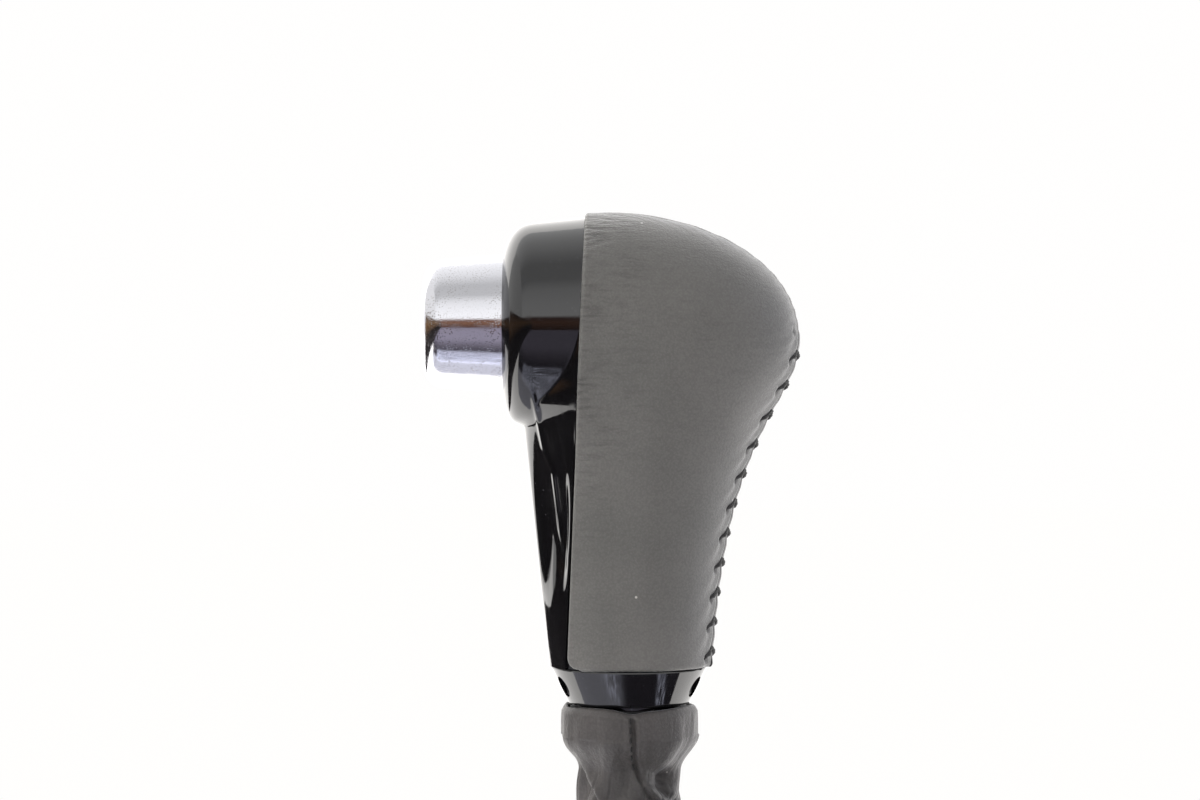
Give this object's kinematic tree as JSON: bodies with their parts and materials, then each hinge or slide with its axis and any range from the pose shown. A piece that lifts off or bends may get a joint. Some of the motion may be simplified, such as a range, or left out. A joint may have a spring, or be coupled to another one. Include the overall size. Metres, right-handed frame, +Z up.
{
  "type": "gear shift knob",
  "caption": "Leather-wrapped automatic gear shift knob with a gloss black front, a chrome lock button, a screwed collar and a leather lever boot.",
  "frame": {"origin": "centre of the lever bore's mouth, at the collar's bottom face", "axes": "+Z up along the gear lever's axis; -X towards the front, where the lock button points; +Y towards the knob's far side"},
  "size_m": [0.078, 0.074, 0.1737],
  "materials": {
    "grip_leather": "fine-grained satin leather",
    "boot_leather": "soft leather",
    "seam_thread": "waxed thread",
    "gloss_black": "piano black ABS",
    "chrome_plate": "chrome plating, scuffed",
    "slider_polymer": "natural acetal",
    "moulded_black": "moulded",
    "bumper_rubber": "moulded",
    "clamp_nylon": "nylon band",
    "spring_steel": "drawn wire",
    "zinc_steel": "zinc plated",
    "black_steel": "black passivated"
  },
  "bodies": {
    "root": {"leather_wrap": "grip_leather", "wrap_thread": "seam_thread", "fascia": "gloss_black", "button_spring": "spring_steel", "button_bumper": "bumper_rubber", "slider_housing": "moulded_black", "housing_screw_left": "zinc_steel", "housing_screw_right": "zinc_steel", "plunger_bush": "slider_polymer", "grip_core": "moulded_black", "lever_sleeve": "zinc_steel", "collar": "gloss_black", "lock_screw_front": "black_steel", "lock_screw_rear": "black_steel", "boot": "boot_leather", "boot_thread": "seam_thread", "boot_ring": "moulded_black", "boot_clamp": "clamp_nylon"},
    "button": {"button_cap": "chrome_plate", "button_slider": "slider_polymer"},
    "plunger": {"push_plunger": "spring_steel"}
  },
  "joints": [
    {"name": "button_press", "type": "slide", "parent": "root", "child": "button", "axis": [1, 0, 0], "range_m": [0, 0.006], "stiffness_N_per_m": 900, "springref_m": -0.003, "deforming": ["button_spring"]},
    {"name": "plunger_slide", "type": "slide", "parent": "root", "child": "plunger", "axis": [0, 0, -1], "range_m": [0, 0.006]}
  ],
  "couplings": [
    {"joint": "plunger_slide", "follows": "button_press", "ratio": 1}
  ]
}
